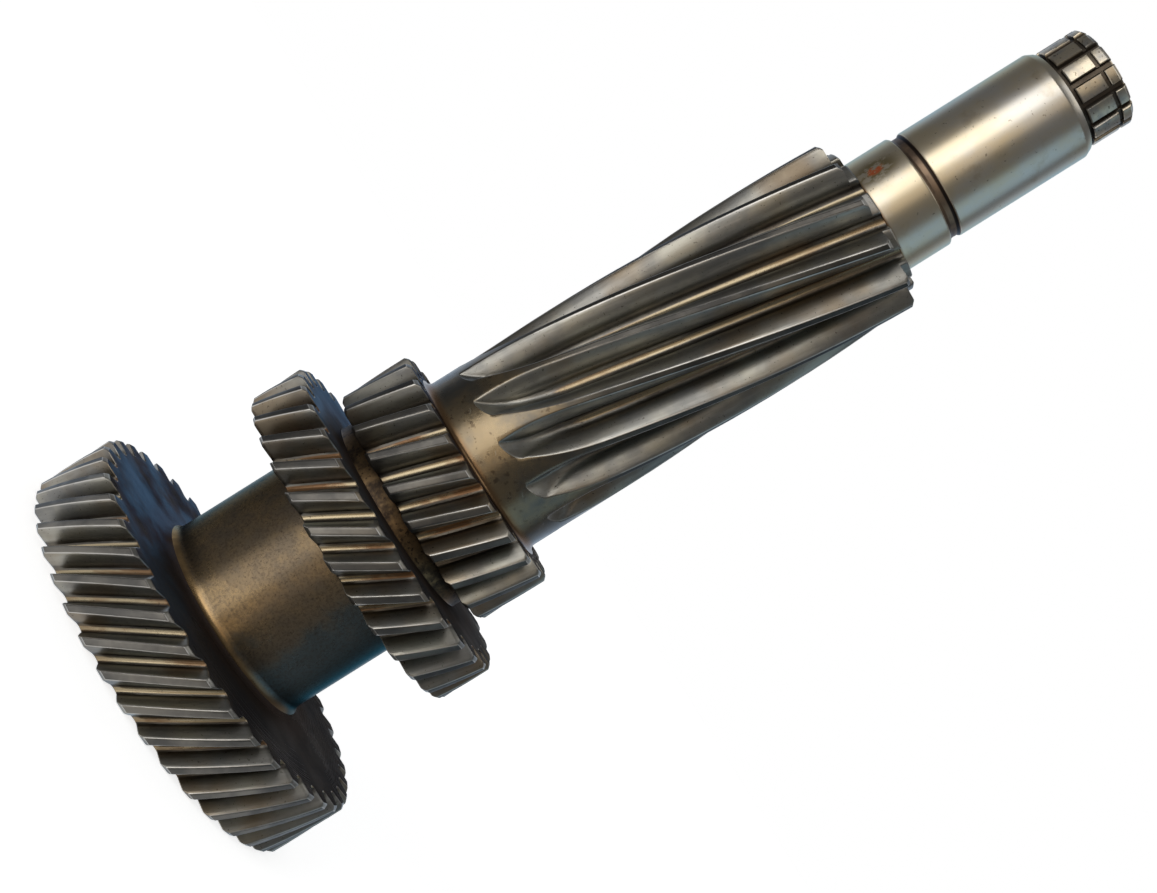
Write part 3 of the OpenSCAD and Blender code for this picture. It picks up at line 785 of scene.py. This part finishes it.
def face_steel():
    """The turned side faces of the gears, nearly black, with bluish smears and a painted bluish reflection towards -X.
    """
    finish = Finish("gear_face_steel")
    cloud = finish.noise(finish.place, 55, 4.0, 0.6)
    smears = finish.noise(finish.place, 46, 4.0, 0.6, shift=(0, 4, 0))
    # Bluish smears in random patches, strongest towards -X: partly a smear and partly a painted bluish reflection on
    # that side
    blue_smears_and_reflection = finish.times(finish.fade(smears, 0.36, 0.6, 0.15, 1.0),
                        finish.fade(finish.across, 0.012, -0.028, 0.1, 1.0))
    finish.colour = finish.mix(finish.fade(cloud, 0.35, 0.68), FACE_BLACK, FACE_GREY)
    finish.lay(finish.times(blue_smears_and_reflection, 0.6), FACE_REFLECTION_BLUE)
    browned = finish.fade(finish.radius, (BARREL_RADIUS + 11) * MM, (BARREL_RADIUS + 4) * MM, 0.0, 0.8)
    finish.lay(browned, FACE_BROWN)
    finish.lay(finish.times(finish.spots(1300, 0.64), 0.7), FACE_SPECK)
    rough = finish.fade(cloud, 0.3, 0.7, 0.66, 0.5)
    # The painted bluish side also tints the reflections there
    film = finish.mix(blue_smears_and_reflection, FACE_FILM_GREY, FACE_REFLECTION_TINT_BLUE)
    return finish.end(rough, finish.rings(1400.0, 2.0), 0.00003, metal=0.85, tint=film)


def lower_steel():
    """The recessed lower face, the hub and the bore: turned, dull and browned with old oil."""
    finish = Finish("lower_end_steel")
    cloud = finish.noise(finish.place, 75, 4.0, 0.62)
    finish.colour = finish.mix(finish.fade(cloud, 0.35, 0.66), LOWER_DARK, LOWER_PALE)
    oily = finish.fade(finish.noise(finish.place, 44, 3.0, 0.6, shift=(3, 0, 0)), 0.46, 0.66, 0.0, 0.7)
    finish.lay(oily, LOWER_OIL)
    hub = finish.band(finish.radius, (BORE_RADIUS + 0.4) * MM, (BORE_RADIUS + 1.6) * MM, (HUB_RADIUS - 0.6) * MM,
                      (HUB_RADIUS + 0.2) * MM)
    finish.lay(finish.times(hub, 0.6), HUB_BRIGHT)
    finish.lay(finish.times(finish.spots(900, 0.63), 0.7), LOWER_SPECK)
    rough = finish.calc("SUBTRACT", finish.fade(cloud, 0.3, 0.7, 0.56, 0.44), finish.times(hub, 0.12))
    return finish.end(rough, finish.rings(1900.0, 3.0), 0.00004)


def barrel_steel():
    """The barrel's oil-browned skin with fine dark specks, darker brown low in the large gear's fillet, a painted
    highlight line along that fillet and a painted bluish reflection on the +X side.
    """
    finish = Finish("barrel_steel")
    height, foot = finish.height, LARGE.width * MM
    cloud = finish.noise(finish.place, 60, 5.0, 0.66)
    fine = finish.noise(finish.place, 1300, 3.0, 0.7, shift=(1, 0, 0))
    ragged = finish.times(finish.calc("SUBTRACT", cloud, 0.5), 0.04)
    side = finish.calc("ADD", finish.across, ragged)
    finish.colour = finish.mix(finish.fade(cloud, 0.34, 0.68), BARREL_BROWN, BARREL_TAN)
    # Painted bluish reflection on the barrel's +X side, with a ragged edge
    finish.lay(finish.fade(side, 0.006, 0.017, 0.0, 0.9), BARREL_REFLECTION_BLUE)
    finish.lay(finish.fade(fine, 0.42, 0.68, 0.0, 0.5), BARREL_GRAIN)
    finish.lay(finish.times(finish.spots(2300, 0.62, (0, 2, 0)), 0.6), BARREL_SPECK)
    # Darker brown down the fillet towards the large gear's face
    finish.lay(finish.fade(height, foot + 0.0028, foot + 0.0014, 0.0, 0.8), BARREL_FOOT_BROWN)
    # Painted orange highlight line along the middle of the fillet, broken by noise and fading out on the +X side
    line = finish.times(finish.band(height, foot + 0.0003, foot + 0.0010, foot + 0.0016, foot + 0.0030),
                        finish.fade(finish.noise(finish.place, 120, 3.0), 0.3, 0.55, 0.4, 1.0),
                        finish.fade(side, 0.018, 0.004, 0.2, 1.0))
    finish.lay(line, BARREL_FILLET_HIGHLIGHT)
    rough = finish.fade(cloud, 0.3, 0.7, 0.31, 0.25)
    relief = finish.calc("ADD", finish.times(finish.lines(900), 0.4), finish.times(fine, 0.6))
    return finish.end(rough, relief, 0.000015, tint=BARREL_FILM)


def groove_steel():
    """The groove between two gears, rusty brown."""
    finish = Finish("groove_steel")
    cloud = finish.noise(finish.place, 150, 4.0, 0.7)
    finish.colour = finish.mix(finish.fade(cloud, 0.36, 0.64), GROOVE_BLACK, GROOVE_RUST)
    finish.lay(finish.times(finish.spots(900, 0.6), 0.8), GROOVE_SPECK)
    return finish.end(finish.fade(cloud, 0.3, 0.7, 0.42, 0.3), cloud, 0.00005, metal=0.95)


def journal_steel(name):
    """Ground journals: fine marks round the axis and a thin golden film in patches."""
    finish = Finish(name)
    film = finish.fade(finish.noise(finish.place, 48, 5.0, 0.62, stretch=(1, 1, 0.6)), 0.36, 0.62)
    finish.colour = finish.mix(film, JOURNAL_SILVER, JOURNAL_GOLD)
    finish.lay(finish.fade(finish.lines(1500, 5.0), 0.5, 0.8, 0.0, 0.15), JOURNAL_MARK)
    smudge = finish.fade(finish.noise(finish.place, 150, 4.0, 0.65, shift=(0, 0, 3)), 0.56, 0.74, 0.0, 0.4)
    finish.lay(smudge, JOURNAL_SMUDGE)
    finish.lay(finish.times(finish.spots(900, 0.68, (0, 5, 0)), 0.6), JOURNAL_SPECK)
    metal = stain(finish) if name == "centre_journal_steel" else 1.0
    marks = finish.lines(5200, 9.0)
    return finish.end(finish.fade(marks, 0.3, 0.7, 0.29, 0.33), marks, 0.0000005, metal, tint=JOURNAL_FILM)


def stain(finish):
    """Lays the stain and the rusty corner on the centre journal, and gives how metallic they leave it."""
    from_stain = finish.add("Mapping", {"vector_type": "TEXTURE"}, Vector=finish.place, Location=STAIN_PLACE,
                            Scale=STAIN_STRETCH)
    spot = finish.add("VectorMath", {"operation": "LENGTH"})
    finish.put(spot.inputs[0], from_stain.outputs["Vector"])
    reach = spot.outputs["Value"]
    ragged = finish.noise(finish.place, 460, 4.0, 0.7, shift=(0, 0, 7), stretch=(1, 1, 0.6))
    olive = finish.times(finish.fade(reach, 0.0048, 0.0018), finish.fade(ragged, 0.40, 0.54, 0.0, 0.8))
    finish.lay(olive, STAIN_OLIVE)
    red = finish.times(finish.fade(reach, 0.0018, 0.0009), finish.fade(ragged, 0.44, 0.52))
    finish.lay(red, STAIN_RED)
    finish.lay(finish.fade(finish.height, (COLLAR_TOP + 1.2) * MM, (COLLAR_TOP + 0.3) * MM), JOURNAL_CORNER)
    return finish.calc("SUBTRACT", 1.0, finish.times(red, 0.7))


def relief_steel():
    """The grinding groove and the undercut, brown with old oil, with painted shade in the groove's corner at the rear
    journal.
    """
    finish = Finish("relief_steel")
    cloud = finish.noise(finish.place, 160, 3.0, 0.6)
    finish.colour = finish.mix(finish.fade(cloud, 0.35, 0.65), RELIEF_BROWN, RELIEF_TAN)
    # Painted shade: a dark band in the groove's corner at the foot of the rear journal
    dark = finish.band(finish.height, (REAR_FOOT - 0.7) * MM, (REAR_FOOT - 0.3) * MM, (REAR_FOOT + 0.2) * MM,
                       (REAR_FOOT + 0.4) * MM)
    finish.lay(dark, RELIEF_CORNER_SHADE)
    return finish.end(0.45, finish.lines(2400), 0.00002)


def spline_steel():
    """The splined end, golden grey, with painted shade between the splines."""
    finish = Finish("spline_steel")
    cloud = finish.noise(finish.place, 190, 4.0, 0.6)
    finish.colour = finish.mix(finish.fade(cloud, 0.34, 0.64), SPLINE_GREY, SPLINE_GOLD)
    # Painted shade in the gaps between the splines, kept off the end face; the gaps are also rougher
    deep = finish.times(finish.fade(finish.radius, (SPLINE_RADIUS - 0.15) * MM, (SPLINE_RADIUS - 0.75) * MM),
                        finish.fade(finish.height, (TOP - 0.05) * MM, (TOP - 0.5) * MM))
    finish.lay(finish.times(deep, 0.9), SPLINE_GAP_SHADE)
    finish.lay(finish.times(finish.spots(1100, 0.62), 0.7), SPLINE_SPECK)
    rough = finish.calc("ADD", finish.fade(cloud, 0.3, 0.7, 0.38, 0.27), finish.times(deep, 0.2))
    return finish.end(rough, cloud, 0.00003)


# Which finish goes where, with margins in millimetres
HOLLOW_TOP, RECESS_TOP, HOLLOW_MARGIN, RIM_MARGIN = 35, 2.6, 2, 0.1
TEETH_MARGIN, FLAT, FACE_FILLET, RELIEF_EDGE, GROUND_EDGE = 0.5, 0.9, 0.8, 0.75, 0.5
SPLINE_EDGE, TOUCH = 0.05, 0.01


def finish_of(height, radius, upright):
    """Which finish a face of the shaft has, from its height, its radius and how far it faces up or down."""
    inside = radius < root_radius(LARGE) - RIM_WIDTH - RIM_MARGIN
    if height < HOLLOW_TOP and inside and (height < RECESS_TOP or radius < BORE_RADIUS + HOLLOW_MARGIN):
        return "lower_end"
    for name, gear in (("large_gear_teeth", LARGE), ("medium_gear_teeth", MEDIUM), ("small_gear_teeth", SMALL)):
        if gear.foot - TOUCH <= height <= gear.foot + gear.width + TOUCH:
            return "gear_faces" if upright > FLAT or radius < root_radius(gear) - TEETH_MARGIN else name
    for name, top in (("gear_faces", LARGE.width + FACE_FILLET), ("barrel", MEDIUM.foot), ("groove", SMALL.foot),
                      ("pinion_teeth", COLLAR_TOP + TOUCH), ("centre_journal", CENTRE_TOP - RELIEF_EDGE),
                      ("relief", REAR_FOOT + GROUND_EDGE), ("rear_journal", REAR_TOP - SPLINE_EDGE)):
        if height < top:
            return name
    return "spline"


def dress(shaft):
    """Gives every face of the shaft its finish."""
    finishes = {
        "large_gear_teeth": tooth_steel("large_gear_teeth", LARGE, rust=0.75, land_shade=1.6),
        "medium_gear_teeth": tooth_steel("medium_gear_teeth", MEDIUM, rust=0.9, land_shade=1.6),
        "small_gear_teeth": tooth_steel("small_gear_teeth", SMALL, rust=0.9, land_shade=1.5),
        "pinion_teeth": tooth_steel("pinion_teeth", PINION, rust=0.35, land_shade=1.0, necked=True),
        "gear_faces": face_steel(),
        "barrel": barrel_steel(),
        "groove": groove_steel(),
        "centre_journal": journal_steel("centre_journal_steel"),
        "rear_journal": journal_steel("rear_journal_steel"),
        "relief": relief_steel(),
        "spline": spline_steel(),
        "lower_end": lower_steel(),
    }
    shaft.data.materials.clear()
    for material in finishes.values():
        shaft.data.materials.append(material)
    numbers = {name: number for number, name in enumerate(finishes)}
    for face in shaft.data.polygons:
        x, y, z = face.center / MM
        face.material_index = numbers[finish_of(z, math.hypot(x, y), abs(face.normal.z))]


def lay_floor():
    """A pale table whose front edge is near the shaft. It keeps the shadow, and shades off as the world does."""
    bpy.ops.object.select_all(action="DESELECT")
    bpy.ops.mesh.primitive_plane_add(size=FLOOR_SIZE, location=(0, FLOOR_SIZE / 2 + FLOOR_EDGE, FLOOR_LEVEL))
    bpy.ops.object.transform_apply(location=True)
    floor = bpy.context.object
    floor.name = "floor"
    finish = Finish("floor_paint")
    floor.data.materials.append(finish.material)
    away = finish.calc("DIVIDE", finish.back, finish.calc("ADD", finish.radius, 0.001))
    pale = finish.calc("MAXIMUM", finish.fade(away, *WORLD_TURN), finish.fade(finish.radius, 0.20, 0.09))
    rays = finish.add("LightPath")
    direct = finish.calc("MAXIMUM", rays.outputs["Is Camera Ray"], rays.outputs["Is Transmission Ray"])
    seen = finish.calc("MAXIMUM", direct, finish.times(rays.outputs["Is Glossy Ray"], pale))
    near = finish.fade(finish.radius, 0.5, 0.12)
    paint = finish.mix(seen, finish.mix(pale, FLOOR_GREY, FLOOR_PALE), finish.mix(near, SEEN_FAR, SEEN_NEAR))
    finish.put(finish.shader.inputs["Base Color"], paint)
    finish.put(finish.shader.inputs["Roughness"], FLOOR_ROUGHNESS)
    finish.put(finish.shader.inputs["Emission Color"], WHITE)
    glow = finish.times(seen, finish.fade(near, 0, 1, GLOW_FAR, GLOW_NEAR))
    finish.put(finish.shader.inputs["Emission Strength"], glow)


set_world()
set_lamps()
lay_floor()
dress(steel_shaft)
